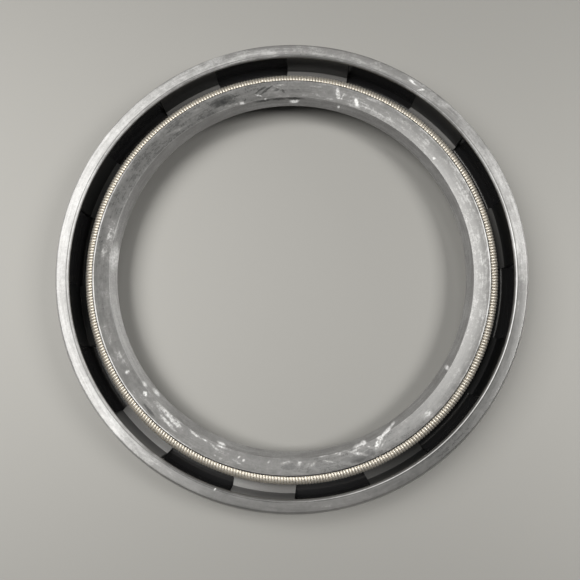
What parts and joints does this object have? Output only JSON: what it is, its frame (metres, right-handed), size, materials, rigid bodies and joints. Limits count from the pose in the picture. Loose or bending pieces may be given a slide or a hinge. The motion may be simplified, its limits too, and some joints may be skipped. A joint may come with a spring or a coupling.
{
  "type": "radial shaft seal",
  "caption": "Rubber-covered rotary shaft seal ring with an embedded L-section steel case, a spring-loaded sealing lip in a grooved head, and a lined channel with windows down to the steel.",
  "frame": {"origin": "on the seal's axis, at the closed back face that it lies on", "axes": "+Z along the axis, from the back face to the spring side; +X through the middle of one pad"},
  "size_m": [0.072, 0.072, 0.008],
  "materials": {
    "nitrile_rubber": "moulded, matt, lightly scuffed",
    "coated_steel": "thin glossy black bonding coat over pressed steel",
    "spring_wire": "drawn wire, oil-tempered straw tint"
  },
  "bodies": {
    "root": {"rubber_body": "nitrile_rubber", "steel_case": "coated_steel", "garter_spring": "spring_wire"}
  },
  "joints": []
}
